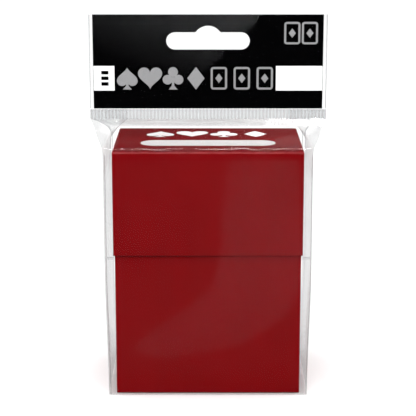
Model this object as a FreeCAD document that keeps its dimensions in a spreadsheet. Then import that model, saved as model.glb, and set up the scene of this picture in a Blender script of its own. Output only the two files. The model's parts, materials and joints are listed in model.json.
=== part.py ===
"""Card deck box in its hang-sell bag, as a parametric FreeCAD document.

A die-cut polypropylene sheet is folded into a tall box with a deep flip lid that turns on a living hinge
along the back top edge.  A loose divider stands inside.  The box sits in a clear side-gusset film bag whose
crimped top seal carries a black header card with a peg slot, held between two film leaves.

Frame, in millimetres: X across the front, -Y towards the reader, +Z up, origin at the middle of the bag's
base.  The bag is cut all round level with the lid's lower edge and along the lid's crease at the back, so its
top turns back with the lid, and the box then pulls up out of its lower half.
"""

import FreeCAD, Part

import math
import os

from Sketcher import Constraint

OUT_FOLDER = "parts"

# How far a cutter runs past the faces it cuts, in millimetres.
RUN_OUT = 2.0

# Two coordinates closer than this are the same one, in millimetres.
SAME = 1e-3

# Driving dimensions, in millimetres unless the name says degrees.
DIMENSIONS = {
    # the folded box
    "lid_width": 72.0,
    "lid_depth": 48.0,
    "box_height": 96.0,
    "sheet": 0.45,
    "lid_gap": 0.1,
    "fold_gap": 0.03,
    "edge_round": 0.4,
    "flap_drop": 40.4,
    "ear_back_drop": 14.0,
    "mitre_reach": 19.5,
    "mitre_gap": 0.12,
    "mitre_relief": 1.0,
    "lock_tab_radius": 3.2,
    "lock_tab_reach": 2.2,
    "rim_drop": 0.15,
    "notch_half_width": 13.0,
    "notch_depth": 9.0,
    "seam_flap_width": 14.0,
    "base_flap_reach": 26.0,
    "base_flap_inset": 1.0,
    "base_flap_taper": 3.0,
    "tuck_height": 15.0,
    "tuck_inset": 1.2,
    "tuck_round": 2.4,
    "corner_round": 1.2,
    # the write-on strip on the lid
    "strip_length": 52.0,
    "strip_width": 10.6,
    "strip_setback": 17.5,
    "strip_thickness": 0.06,
    # the loose divider
    "divider_thickness": 0.5,
    "divider_y": 8.0,
    "divider_side_gap": 0.15,
    "divider_foot_gap": 0.06,
    "divider_top": 90.5,
    "divider_tab_width": 22.0,
    "divider_tab_height": 3.6,
    "divider_round": 1.6,
    # the film bag
    "film": 0.15,
    "floor_gap": 0.15,
    "bag_width": 79.0,
    "bag_depth": 52.2,
    "cut_gap": 0.2,
    "back_film_top": 94.2,
    "base_seal_width": 6.0,
    "shoulder_rise": 0.6,
    "hood_back_setback": 0.6,
    "flat_width": 91.6,
    "gusset_inset": 0.6,
    # the crimped top seal
    "seal_bottom": 104.3,
    "seal_height": 3.8,
    "crimp_pitch": 1.32,
    "crimp_depth": 0.3,
    "crimp_wall": 0.3,
    # the header
    "header_fold_gap": 0.25,
    "card_width": 88.6,
    "card_height": 36.4,
    "card_thickness": 0.3,
    "leaf_thickness": 0.12,
    "leaf_gap": 0.06,
    "leaf_overrun": 0.1,
    "slot_length": 32.1,
    "slot_height": 6.7,
    "slot_below_top": 10.1,
    "slot_crown_radius": 5.85,
}


class Size:
    """A length known both as a spreadsheet expression and as a number, so that the two can't differ."""

    def __init__(self, text, value):
        self.text = text
        self.value = value

    @staticmethod
    def of(other):
        return other if isinstance(other, Size) else Size(repr(float(other)), float(other))

    def _join(self, other, sign, value):
        return Size(f"({self.text} {sign} {Size.of(other).text})", value)

    def __add__(self, other):
        return self._join(other, "+", self.value + Size.of(other).value)

    def __radd__(self, other):
        return Size.of(other) + self

    def __sub__(self, other):
        return self._join(other, "-", self.value - Size.of(other).value)

    def __rsub__(self, other):
        return Size.of(other) - self

    def __mul__(self, other):
        return self._join(other, "*", self.value * Size.of(other).value)

    def __rmul__(self, other):
        return Size.of(other) * self

    def __truediv__(self, other):
        return self._join(other, "/", self.value / Size.of(other).value)

    def __neg__(self):
        return Size(f"(0 - {self.text})", -self.value)


doc = FreeCAD.newDocument("CardDeckBox")
sheet = doc.addObject("Spreadsheet::Sheet", "Sizes")
for row, (alias, number) in enumerate(DIMENSIONS.items(), start=1):
    sheet.set(f"A{row}", alias)
    sheet.set(f"B{row}", str(number))
    sheet.setAlias(f"B{row}", alias)
doc.recompute()

D = {alias: Size(f"Sizes.{alias}", float(sheet.get(alias))) for alias in DIMENSIONS}

# Places worked out from the driving dimensions.
half_lid = D["lid_width"] / 2
half_depth = D["lid_depth"] / 2
lid_inner_x = half_lid - D["sheet"]
lid_inner_front = -half_depth + D["sheet"]
lid_under = D["box_height"] - D["sheet"]
wall_x = lid_inner_x - D["lid_gap"]
wall_inner_x = wall_x - D["sheet"]
front_y = lid_inner_front + D["lid_gap"]
front_inner_y = front_y + D["sheet"]
back_inner_y = half_depth - D["sheet"]
crease_y = half_depth - D["sheet"] / 2
crease_z = D["box_height"] - D["sheet"] / 2
crease_reach = D["sheet"] / 2 + D["fold_gap"]
rim_z = lid_under - D["rim_drop"]
flap_z = D["box_height"] - D["flap_drop"]
base_z = D["film"] + D["floor_gap"]
walls_z = base_z + D["sheet"]
base_flap_z = walls_z + D["sheet"]
bag_x = D["bag_width"] / 2
bag_y = D["bag_depth"] / 2
bag_inner_x = bag_x - D["film"]
bag_inner_y = bag_y - D["film"]
cut_z = flap_z - D["cut_gap"]
shoulder_z = D["box_height"] + D["shoulder_rise"]
hood_back_y = crease_y - D["hood_back_setback"]
flat_x = D["flat_width"] / 2
seal_top = D["seal_bottom"] + D["seal_height"]
header_z = seal_top + D["header_fold_gap"]
header_top = header_z + D["card_height"]
slot_z = header_top - D["slot_below_top"]

subparts = []


def keep(label, thing):
    """Labels a finished sub-part and puts it on the list that is written out."""
    thing.Label = label
    subparts.append(thing)
    return thing


def bind(thing, **sizes):
    """Binds properties to sizes; a double underscore stands for the dot in a property's path."""
    for path, size in sizes.items():
        thing.setExpression(path.replace("__", "."), Size.of(size).text)
    return thing


def block(name, low, high):
    """A plain plate between two corners, each a triple of sizes."""
    low = [Size.of(v) for v in low]
    high = [Size.of(v) for v in high]
    box = doc.addObject("Part::Box", name)
    bind(box, Length=high[0] - low[0], Width=high[1] - low[1], Height=high[2] - low[2])
    bind(box, Placement__Base__x=low[0], Placement__Base__y=low[1], Placement__Base__z=low[2])
    return box


def rod(name, radius, length, centre, axis, angle):
    """A cylinder turned from +Z by angle degrees about axis; centre is the middle of its start face."""
    cylinder = doc.addObject("Part::Cylinder", name)
    cylinder.Placement.Rotation = FreeCAD.Rotation(FreeCAD.Vector(*axis), angle)
    bind(cylinder, Radius=radius, Height=length)
    bind(cylinder, Placement__Base__x=centre[0], Placement__Base__y=centre[1], Placement__Base__z=centre[2])
    return cylinder


def outline_pad(name, plane, corners, start, thickness):
    """A PartDesign body: a closed outline of (u, v) sizes on an origin plane, padded along its normal.

    The normals are +Z for XY_Plane, -Y for XZ_Plane and +X for YZ_Plane, and start is measured along them.
    """
    body = doc.addObject("PartDesign::Body", name)
    outline = body.newObject("Sketcher::SketchObject", name + "_outline")
    outline.AttachmentSupport = [(next(f for f in body.Origin.OriginFeatures if f.Role == plane), "")]
    outline.MapMode = "FlatFace"
    outline.setExpression("AttachmentOffset.Base.z", Size.of(start).text)
    corners = [(Size.of(u), Size.of(v)) for u, v in corners]
    points = [FreeCAD.Vector(u.value, v.value, 0) for u, v in corners]
    for i, point in enumerate(points):
        outline.addGeometry(Part.LineSegment(point, points[(i + 1) % len(points)]), False)
    for i, (u, v) in enumerate(corners):
        outline.addConstraint(Constraint("Coincident", i, 2, (i + 1) % len(points), 1))
        for kind, size in (("DistanceX", u), ("DistanceY", v)):
            index = outline.addConstraint(Constraint(kind, -1, 1, i, 1, size.value))
            outline.setExpression(f"Constraints[{index}]", size.text)
    pad = body.newObject("PartDesign::Pad", name + "_pad")
    pad.Profile = outline
    pad.setExpression("Length", Size.of(thickness).text)
    doc.recompute()
    return body


def rounded(body, name, radius, wanted):
    """Adds a PartDesign fillet to the edges of the body's shape for which wanted(edge) is true."""
    tip = body.Tip
    names = [f"Edge{i}" for i, edge in enumerate(tip.Shape.Edges, start=1) if wanted(edge)]
    fillet = body.newObject("PartDesign::Fillet", name)
    fillet.Base = (tip, names)
    fillet.setExpression("Radius", Size.of(radius).text)
    doc.recompute()
    return body


def runs_along(edge, axis):
    """True if a straight edge lies along the axis with that index."""
    first, last = edge.Vertexes[0].Point, edge.Vertexes[-1].Point
    span = last - first
    return abs(abs(span[axis]) - span.Length) < SAME


def at(edge, axis, size):
    """True if the middle of the edge has that coordinate."""
    return abs(edge.CenterOfMass[axis] - size.value) < SAME


def cut(name, base, tool):
    """base less tool."""
    result = doc.addObject("Part::Cut", name)
    result.Base = base
    result.Tool = tool
    return result


def thin_panel(label, corners, inward, thickness):
    """A flat film panel with the given corners, thickened from its outer face towards the point inward."""
    points = [FreeCAD.Vector(*(Size.of(c).value for c in corner)) for corner in corners]
    normal = (points[1] - points[0]).cross(points[2] - points[0]).normalize()
    inward = FreeCAD.Vector(*(Size.of(c).value for c in inward))
    if normal.dot(inward - points[0]) < 0:
        normal = -normal
    face = Part.Face(Part.makePolygon(points + points[:1]))
    panel = doc.addObject("Part::Feature", label)
    panel.Shape = face.extrude(normal * Size.of(thickness).value)
    panel.Placement = FreeCAD.Placement()
    return keep(label, panel)


# ------------------------------------------------------------------ the folded box


def front_wall():
    """Front wall with a shallow thumb notch in its rim and rounded corner folds."""
    wall = outline_pad(
        "front_wall_sheet",
        "XZ_Plane",
        [(-wall_x, walls_z), (wall_x, walls_z), (wall_x, rim_z), (-wall_x, rim_z)],
        -front_inner_y,
        D["sheet"],
    )
    rounded(wall, "front_wall_folds", D["edge_round"], lambda e: runs_along(e, 2) and at(e, 1, front_y))
    half, depth = D["notch_half_width"], D["notch_depth"]
    radius = (half * half + depth * depth) / (depth * 2)
    centre = (0, front_inner_y + RUN_OUT, rim_z - depth + radius)
    notch = rod("thumb_notch", radius, D["sheet"] + RUN_OUT * 2, centre, (1, 0, 0), 90)
    keep("front_wall", cut("front_wall_cut", wall, notch))


def back_wall():
    """Back wall, up to the living hinge."""
    wall = outline_pad(
        "back_wall_sheet",
        "XZ_Plane",
        [
            (-wall_x, walls_z),
            (wall_x, walls_z),
            (wall_x, crease_z - crease_reach),
            (-wall_x, crease_z - crease_reach),
        ],
        -half_depth,
        D["sheet"],
    )
    rounded(wall, "back_wall_folds", D["edge_round"], lambda e: runs_along(e, 2) and at(e, 1, half_depth))
    keep("back_wall", wall)


def side_walls():
    """The two side walls, between the front and back walls."""
    for label, low, high in (("left_wall", -wall_x, -wall_inner_x), ("right_wall", wall_inner_x, wall_x)):
        keep(label, block(label + "_sheet", (low, front_inner_y, walls_z), (high, back_inner_y, rim_z)))


def seam_flap():
    """The front wall's return, welded inside the left wall."""
    low = (-wall_inner_x, front_inner_y, base_flap_z + D["fold_gap"])
    high = (-wall_inner_x + D["sheet"], front_inner_y + D["seam_flap_width"], rim_z)
    keep("seam_flap", block("seam_flap_sheet", low, high))


def base():
    """Base panel, its two dust flaps and the tuck flap that stands inside the front wall."""
    panel = outline_pad(
        "base_panel_sheet",
        "XY_Plane",
        [(-wall_x, front_y), (wall_x, front_y), (wall_x, half_depth), (-wall_x, half_depth)],
        base_z,
        D["sheet"],
    )
    rounded(panel, "base_folds", D["edge_round"], lambda e: at(e, 2, base_z))
    keep("base_panel", panel)
    front = front_inner_y + D["sheet"] + D["fold_gap"]
    back = back_inner_y - D["base_flap_inset"]
    reach, taper = D["base_flap_reach"], D["base_flap_taper"]
    for label, side in (("base_left_flap", -1), ("base_right_flap", 1)):
        root, tip = wall_inner_x * side, (wall_inner_x - reach) * side
        corners = [(root, front), (root, back), (tip, back - taper), (tip, front + taper)]
        keep(label, outline_pad(label + "_sheet", "XY_Plane", corners, walls_z, D["sheet"]))
    half_tuck = wall_inner_x - D["tuck_inset"]
    tuck = outline_pad(
        "base_tuck_flap_sheet",
        "XZ_Plane",
        [
            (-half_tuck, walls_z),
            (half_tuck, walls_z),
            (half_tuck - D["tuck_inset"], walls_z + D["tuck_height"]),
            (-half_tuck + D["tuck_inset"], walls_z + D["tuck_height"]),
        ],
        -front_inner_y - D["sheet"],
        D["sheet"],
    )
    top_z = walls_z + D["tuck_height"]
    rounded(
        tuck,
        "tuck_corners",
        D["tuck_round"],
        lambda e: runs_along(e, 1) and at(e, 2, top_z),
    )
    keep("base_tuck_flap", tuck)


def living_hinge():
    """The rolled crease that joins the back wall to the lid: a thin web, round about the fold line."""
    length = wall_x * 2 - D["sheet"]
    start = (-length / 2, crease_y, crease_z)
    keep("living_hinge", rod("crease_web", D["sheet"] / 2, length, start, (0, 1, 0), 90))


# ------------------------------------------------------------------ the lid


def lid_top_panel():
    """Top of the lid, with rounded folds along the front and both sides."""
    back = crease_y - crease_reach
    panel = outline_pad(
        "lid_top_sheet",
        "XY_Plane",
        [(-half_lid, -half_depth), (half_lid, -half_depth), (half_lid, back), (-half_lid, back)],
        lid_under,
        D["sheet"],
    )
    rounded(
        panel,
        "lid_top_folds",
        D["edge_round"],
        lambda e: at(e, 2, D["box_height"]) and not at(e, 1, back),
    )
    keep("lid_top_panel", panel)


def lid_front_flap():
    """The deep front flap, with rounded corner folds and rounded lower corners."""
    flap = outline_pad(
        "lid_front_sheet",
        "XZ_Plane",
        [(-half_lid, flap_z), (half_lid, flap_z), (half_lid, lid_under), (-half_lid, lid_under)],
        -lid_inner_front,
        D["sheet"],
    )
    rounded(flap, "lid_front_corners", D["corner_round"], lambda e: runs_along(e, 1) and at(e, 2, flap_z))
    rounded(flap, "lid_front_folds", D["edge_round"], lambda e: runs_along(e, 2) and at(e, 1, -half_depth))
    keep("lid_front_flap", flap)


def lid_sides():
    """Each side is two ears, one from the top panel and one from the front flap, that meet on a slanting
    mitre and lock with a round tab.  Their lower edge rises from the front flap to the hinge."""
    back = crease_y - crease_reach
    back_z = D["box_height"] - D["ear_back_drop"]
    slope = (back_z - flap_z) / (back - lid_inner_front)
    mitre_y = lid_inner_front + D["mitre_reach"]
    mitre_z = flap_z + slope * D["mitre_reach"]
    gap = D["mitre_gap"]
    tab_y = (lid_inner_front + mitre_y) / 2 + D["lock_tab_reach"]
    tab_z = (lid_under + mitre_z) / 2
    for side, start in (("left", -half_lid), ("right", lid_inner_x)):
        tab = rod(f"{side}_lock_tab", D["lock_tab_radius"], D["sheet"], (start, tab_y, tab_z), (0, 1, 0), 90)
        corner = outline_pad(
            f"{side}_corner_sheet",
            "YZ_Plane",
            [(lid_inner_front, flap_z), (mitre_y, mitre_z), (lid_inner_front, lid_under - D["mitre_relief"])],
            start,
            D["sheet"],
        )
        joined = doc.addObject("Part::Fuse", f"{side}_corner_joined")
        joined.Base = corner
        joined.Tool = tab
        joined.Refine = True
        keep(f"lid_{side}_corner_ear", joined)
        ear = outline_pad(
            f"{side}_ear_sheet",
            "YZ_Plane",
            [
                (mitre_y + gap, mitre_z + slope * gap),
                (back, back_z),
                (back, lid_under),
                (lid_inner_front + gap, lid_under),
            ],
            start,
            D["sheet"],
        )
        room = rod(
            f"{side}_lock_slit",
            D["lock_tab_radius"] + gap,
            D["sheet"] + RUN_OUT * 2,
            (start - RUN_OUT, tab_y, tab_z),
            (0, 1, 0),
            90,
        )
        keep(f"lid_{side}_ear", cut(f"{side}_ear_cut", ear, room))


def label_strip():
    """White write-on strip with round ends, on the lid's top near the front."""
    body = doc.addObject("PartDesign::Body", "strip_body")
    outline = body.newObject("Sketcher::SketchObject", "strip_outline")
    outline.AttachmentSupport = [(next(f for f in body.Origin.OriginFeatures if f.Role == "XY_Plane"), "")]
    outline.MapMode = "FlatFace"
    outline.setExpression("AttachmentOffset.Base.z", D["box_height"].text)
    half = (D["strip_length"] - D["strip_width"]) / 2
    radius = D["strip_width"] / 2
    middle = -half_depth + D["strip_setback"]
    up = FreeCAD.Vector(0, 0, 1)
    x, y, r = half.value, middle.value, radius.value
    for side, first in ((1, -math.pi / 2), (-1, math.pi / 2)):
        circle = Part.Circle(FreeCAD.Vector(side * x, y, 0), up, r)
        outline.addGeometry(Part.ArcOfCircle(circle, first, first + math.pi), False)
    for side in (1, -1):
        first = FreeCAD.Vector(side * x, y + side * r, 0)
        last = FreeCAD.Vector(-side * x, y + side * r, 0)
        outline.addGeometry(Part.LineSegment(first, last), False)
    for arc, line, other in ((0, 2, 1), (1, 3, 0)):
        outline.addConstraint(Constraint("Tangent", arc, 2, line, 1))
        outline.addConstraint(Constraint("Tangent", line, 2, other, 1))
    for arc, size in ((0, half), (1, -half)):
        index = outline.addConstraint(Constraint("DistanceX", -1, 1, arc, 3, size.value))
        outline.setExpression(f"Constraints[{index}]", size.text)
    for kind, size in (("DistanceY", middle), ("Radius", radius)):
        places = (-1, 1, 0, 3) if kind == "DistanceY" else (0,)
        index = outline.addConstraint(Constraint(kind, *places, size.value))
        outline.setExpression(f"Constraints[{index}]", size.text)
    outline.addConstraint(Constraint("Horizontal", 2))
    pad = body.newObject("PartDesign::Pad", "strip_pad")
    pad.Profile = outline
    pad.setExpression("Length", D["strip_thickness"].text)
    keep("label_strip", body)


# ------------------------------------------------------------------ inside the box


def deck_divider():
    """Loose divider sheet with an index tab, standing on the dust flaps."""
    half = wall_inner_x - D["sheet"] - D["divider_side_gap"]
    foot = base_flap_z + D["divider_foot_gap"]
    tab = D["divider_tab_width"] / 2
    tab_top = D["divider_top"] + D["divider_tab_height"]
    divider = outline_pad(
        "divider_sheet",
        "XZ_Plane",
        [
            (-half, foot),
            (half, foot),
            (half, D["divider_top"]),
            (tab + D["divider_tab_height"], D["divider_top"]),
            (tab, tab_top),
            (-tab, tab_top),
            (-tab - D["divider_tab_height"], D["divider_top"]),
            (-half, D["divider_top"]),
        ],
        -D["divider_y"] - D["divider_thickness"] / 2,
        D["divider_thickness"],
    )
    rounded(divider, "divider_corners", D["divider_round"], lambda e: runs_along(e, 1) and not at(e, 2, foot))
    keep("deck_divider", divider)


# ------------------------------------------------------------------ the film bag


def bag_lower():
    """The lower half of the bag: four walls, the base folded from front and back, and the base seal."""
    half_seal = D["base_seal_width"] / 2
    film = D["film"]
    plates = {
        "bag_front_film": ((-bag_x, -bag_y, film), (bag_x, -bag_inner_y, cut_z)),
        "bag_back_film": ((-bag_x, bag_inner_y, film), (bag_x, bag_y, D["back_film_top"])),
        "bag_left_film": ((-bag_x, -bag_inner_y, film), (-bag_inner_x, bag_inner_y, cut_z)),
        "bag_right_film": ((bag_inner_x, -bag_inner_y, film), (bag_x, bag_inner_y, cut_z)),
        "bag_base_front": ((-bag_x, -bag_y, 0), (bag_x, -half_seal, film)),
        "bag_base_back": ((-bag_x, half_seal, 0), (bag_x, bag_y, film)),
        "bag_base_seal": ((-bag_x, -half_seal, 0), (bag_x, half_seal, film)),
    }
    for label, (low, high) in plates.items():
        keep(label, block(label + "_plate", low, high))


def bag_top():
    """The cut-off top of the bag: front and side film, and the shoulders that draw in to the crimped seal."""
    film = D["film"]
    keep(
        "hood_front_film",
        block("hood_front_plate", (-bag_x, -bag_y, flap_z), (bag_x, -bag_inner_y, shoulder_z)),
    )
    for label, low, high in (
        ("hood_left_film", -bag_x, -bag_inner_x),
        ("hood_right_film", bag_inner_x, bag_x),
    ):
        keep(label, block(label + "_plate", (low, -bag_inner_y, flap_z), (high, hood_back_y, shoulder_z)))
    seam = D["crimp_depth"] / 2 + D["crimp_wall"] / 2
    foot, head = shoulder_z + film + D["fold_gap"], D["seal_bottom"] - D["fold_gap"]
    inside = (0, 0, D["box_height"])
    inset = D["gusset_inset"]
    thin_panel(
        "hood_front_shoulder",
        [(-bag_x, -bag_y, foot), (bag_x, -bag_y, foot), (flat_x, -seam, head), (-flat_x, -seam, head)],
        inside,
        film,
    )
    thin_panel(
        "hood_back_shoulder",
        [
            (-bag_x, hood_back_y, foot),
            (bag_x, hood_back_y, foot),
            (flat_x, seam, head),
            (-flat_x, seam, head),
        ],
        inside,
        film,
    )
    for side, label in ((-1, "hood_left_gusset"), (1, "hood_right_gusset")):
        edge = (bag_x - film) * side
        thin_panel(
            label,
            [
                (edge, -bag_y + inset, foot),
                (edge, hood_back_y - inset, foot),
                ((flat_x - inset) * side, 0, head - inset),
            ],
            inside,
            film,
        )


def crimped_seal():
    """The heat seal under the header: a band pressed into upright ribs."""
    pitch, half = D["crimp_pitch"].value, flat_x.value
    depth, wall = D["crimp_depth"].value / 2, D["crimp_wall"].value / 2
    steps = int(round(2 * half / pitch)) * 2
    xs = [-half + 2 * half * i / steps for i in range(steps + 1)]
    z = D["seal_bottom"].value
    near = [FreeCAD.Vector(x, -wall + depth * (-1) ** i, z) for i, x in enumerate(xs)]
    far = [FreeCAD.Vector(x, wall + depth * (-1) ** i, z) for i, x in enumerate(xs)]
    ring = near + far[::-1]
    face = Part.Face(Part.makePolygon(ring + ring[:1]))
    band = doc.addObject("Part::Feature", "top_crimp_seal")
    band.Shape = face.extrude(FreeCAD.Vector(0, 0, D["seal_height"].value))
    band.Placement = FreeCAD.Placement()
    keep("top_crimp_seal", band)


# ------------------------------------------------------------------ the header


def peg_slot(name, reach):
    """The cutter for the peg slot: a long round-ended slot with a round crown above its middle."""
    half = D["slot_length"] / 2 - D["slot_height"] / 2
    radius = D["slot_height"] / 2
    length = reach * 2
    pieces = [block(name + "_bar", (-half, -reach, slot_z - radius), (half, reach, slot_z + radius))]
    crown = D["slot_crown_radius"]
    for part, x, size in (("left", -half, radius), ("right", half, radius), ("crown", 0, crown)):
        pieces.append(rod(f"{name}_{part}", size, length, (x, reach, slot_z), (1, 0, 0), 90))
    lower = block(
        name + "_keep",
        (-half, -reach * 2, slot_z - radius - crown),
        (half, reach * 2, slot_z - radius),
    )
    whole = doc.addObject("Part::MultiFuse", name + "_whole")
    whole.Shapes = pieces
    return cut(name + "_slot", whole, lower)


def header():
    """The header card between its two film leaves, all with the peg slot through them."""
    half_card = D["card_width"] / 2
    y = D["card_thickness"] / 2
    near = y + D["leaf_gap"]
    far = near + D["leaf_thickness"]
    over = D["leaf_overrun"]
    plates = {
        "header_card": ((-half_card, -y, header_z), (half_card, y, header_top)),
        "header_front_leaf": ((-flat_x, -far, header_z), (flat_x, -near, header_top + over)),
        "header_back_leaf": ((-flat_x, near, header_z), (flat_x, far, header_top + over)),
    }
    for label, (low, high) in plates.items():
        plate = block(label + "_plate", low, high)
        keep(label, cut(label + "_cut", plate, peg_slot(label, Size.of(RUN_OUT))))


def build():
    """Makes every sub-part, checks it and writes it to its STEP file."""
    for make in (
        front_wall,
        back_wall,
        side_walls,
        seam_flap,
        base,
        living_hinge,
        lid_top_panel,
        lid_front_flap,
        lid_sides,
        label_strip,
        deck_divider,
        bag_lower,
        bag_top,
        crimped_seal,
        header,
    ):
        make()
    doc.recompute()
    failed = [o.Name for o in doc.Objects if {"Invalid", "Error"} & set(o.State)]
    if failed:
        raise RuntimeError(f"these objects failed to build: {failed}")
    os.makedirs(OUT_FOLDER, exist_ok=True)
    for thing in subparts:
        shape = thing.Shape
        if shape.isNull() or not shape.isValid() or not shape.Solids:
            raise RuntimeError(f"{thing.Label} has no valid solid")
        shape.exportStep(os.path.join(OUT_FOLDER, thing.Label + ".step"))
        print(f"{thing.Label}: {len(shape.Solids)} solid, {shape.Volume:.1f} mm3")


build()
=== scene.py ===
"""Looks of the card deck box in its clear hang-sell bag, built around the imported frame.

Everything is in metres, in the frame's own axes: +Z up, -Y out of the front, X across.  The folded box,
the header card and its film leaves are the frame's own solids with finishes.  The bag's film is built here
as thin crinkled sheets, and the header's print and the lid's foil mark are thin inlays.
"""

import json
import math

import bpy
from mathutils import Matrix, Vector, noise
from mathutils.geometry import tessellate_polygon


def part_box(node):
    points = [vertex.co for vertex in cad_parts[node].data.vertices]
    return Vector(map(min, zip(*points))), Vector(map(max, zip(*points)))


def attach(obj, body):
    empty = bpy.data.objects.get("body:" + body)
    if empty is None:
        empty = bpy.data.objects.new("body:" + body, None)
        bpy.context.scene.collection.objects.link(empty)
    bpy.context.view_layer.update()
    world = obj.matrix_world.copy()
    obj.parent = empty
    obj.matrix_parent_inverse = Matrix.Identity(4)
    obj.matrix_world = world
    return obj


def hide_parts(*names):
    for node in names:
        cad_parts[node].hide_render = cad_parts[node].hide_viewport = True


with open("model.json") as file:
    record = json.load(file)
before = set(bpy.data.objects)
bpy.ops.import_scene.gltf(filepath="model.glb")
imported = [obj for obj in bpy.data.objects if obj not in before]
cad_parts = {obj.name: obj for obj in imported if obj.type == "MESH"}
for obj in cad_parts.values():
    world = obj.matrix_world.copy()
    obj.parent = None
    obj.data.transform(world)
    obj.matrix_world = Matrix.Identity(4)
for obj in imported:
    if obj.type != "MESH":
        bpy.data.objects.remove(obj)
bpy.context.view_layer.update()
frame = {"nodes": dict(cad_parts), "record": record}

MM = 0.001
TURN = 2 * math.pi

# ------------------------------------------------------------------ places taken from the frame

lid_low, lid_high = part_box("lid_top_panel")
flap_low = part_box("lid_front_flap")[0]
strip_low, strip_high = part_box("label_strip")
pouch_low, pouch_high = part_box("bag_front_film")
back_film_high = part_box("bag_back_film")[1]
base_seal_low, base_seal_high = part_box("bag_base_seal")
hood_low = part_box("hood_front_film")[0]
hood_side_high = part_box("hood_left_film")[1]
seal_low, seal_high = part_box("top_crimp_seal")
card_low, card_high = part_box("header_card")
leaf_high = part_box("header_front_leaf")[1]

box_top = lid_high.z


# ------------------------------------------------------------------ shader helpers


def material(name):
    """An empty node material and its tree."""
    made = bpy.data.materials.new(name)
    made.use_nodes = True
    made.node_tree.nodes.clear()
    return made, made.node_tree


def shader(tree, kind, settings=None, **inputs):
    """Adds a node; each input, with _ for a space in its name, takes a value or another node's output."""
    made = tree.nodes.new("ShaderNode" + kind)
    for name, value in (settings or {}).items():
        setattr(made, name, value)
    for name, value in inputs.items():
        socket = made.inputs[name.replace("_", " ")]
        if isinstance(value, bpy.types.NodeSocket):
            tree.links.new(value, socket)
        else:
            socket.default_value = value
    return made


def maths(tree, operation, first, second=0.0):
    """One Math node's result."""
    made = shader(tree, "Math", {"operation": operation})
    for socket, value in zip(made.inputs, (first, second)):
        if isinstance(value, bpy.types.NodeSocket):
            tree.links.new(value, socket)
        else:
            socket.default_value = value
    return made.outputs[0]


def here(tree):
    """The place on the object, in metres."""
    return shader(tree, "TexCoord").outputs["Object"]


def grain(tree, size, detail=2.0, stretch=(1, 1, 1)):
    """Noise from 0 to 1 whose features are about size metres across, drawn out by stretch."""
    scale = tuple(1 / s for s in stretch)
    moved = shader(tree, "Mapping", Vector=here(tree), Scale=scale).outputs[0]
    return shader(tree, "TexNoise", Vector=moved, Scale=1 / size, Detail=detail).outputs["Fac"]


def between(tree, amount, low, high):
    """amount from 0 to 1 turned into a value from low to high, held within them."""
    made = shader(tree, "MapRange", Value=amount)
    made.inputs["To Min"].default_value = low
    made.inputs["To Max"].default_value = high
    return made.outputs[0]


def ramp(tree, amount, start, end):
    """0 where amount is below start, 1 above end, smooth between."""
    made = shader(tree, "MapRange", {"interpolation_type": "SMOOTHSTEP"}, Value=amount)
    made.inputs["From Min"].default_value = start
    made.inputs["From Max"].default_value = end
    return made.outputs[0]


def tint(tree, amount, first, second):
    """The colour first where amount is 0, second where it is 1; each is a colour or another node's output."""
    made = shader(tree, "Mix", {"data_type": "RGBA"})
    for socket, colour in zip([s for s in made.inputs if s.type == "RGBA"], (first, second)):
        if isinstance(colour, bpy.types.NodeSocket):
            tree.links.new(colour, socket)
        else:
            socket.default_value = (*colour, 1)
    tree.links.new(amount, made.inputs["Factor"])
    return next(s for s in made.outputs if s.type == "RGBA")


def bumps(tree, height, distance, strength=1.0):
    """A normal from a height map whose full range is distance metres."""
    return shader(tree, "Bump", Height=height, Distance=distance, Strength=strength).outputs[0]


def blend(tree, share, first, second):
    """A mix of two shaders, with share of the second."""
    made = shader(tree, "MixShader", Fac=share)
    tree.links.new(first.outputs[0], made.inputs[1])
    tree.links.new(second.outputs[0], made.inputs[2])
    return made


def finish_material(tree, surface):
    """Makes surface what the material shows."""
    shader(tree, "OutputMaterial", Surface=surface)


# ------------------------------------------------------------------ materials

RED = (0.161, 0.0009, 0.0022)
RED_DEEP = (0.149, 0.0007, 0.0018)
RED_SEAM_SHADE = (0.045, 0.0010, 0.0015)
RED_WHITENED_AND_HIGHLIT = (0.34, 0.06, 0.065)
FOIL = (0.66, 0.65, 0.65)
FOIL_WORN = (0.54, 0.53, 0.53)
INK_BLACK = (0.0006, 0.0006, 0.0007)
INK_BLACK_WORN = (0.0012, 0.0012, 0.0014)
INK_WHITE = (0.96, 0.96, 0.96)
INK_WHITE_DULL = (0.92, 0.92, 0.93)
STRIP_WHITE = (0.66, 0.64, 0.64)
STRIP_WHITE_DULL = (0.60, 0.585, 0.585)
INK_GREY = (0.245, 0.245, 0.25)
INK_GREY_LIGHT = (0.28, 0.28, 0.285)
FROST_THIN = (0.74, 0.76, 0.78)
FROST_THICK = (0.84, 0.85, 0.86)
PAPER_DULL = (0.975, 0.975, 0.975)
PAPER = (0.99, 0.99, 0.99)
MILK = (0.58, 0.605, 0.62)

# How far the fold's whitening and painted highlight, and the painted seam shade, reach over the red sheet.
EDGE_START, FOLD_WHITENING_AND_HIGHLIGHT_REACH, SEAM_SHADE_REACH = 0.1 * MM, 0.55 * MM, 0.45 * MM
FOLD_OFFSET = 0.2 * MM

# The film's ripples and clouds, how taut it is on the walls, and the most light that it mirrors.
RIPPLE_SIZE, RIPPLE_DEPTH = 9 * MM, 0.2 * MM
CLOUD_SIZE = 12 * MM
TAUT = 0.04
EDGE_SHARPNESS = 5.0
MOST_SHINE = 0.15
RIB_PITCH = 1.36 * MM


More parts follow.
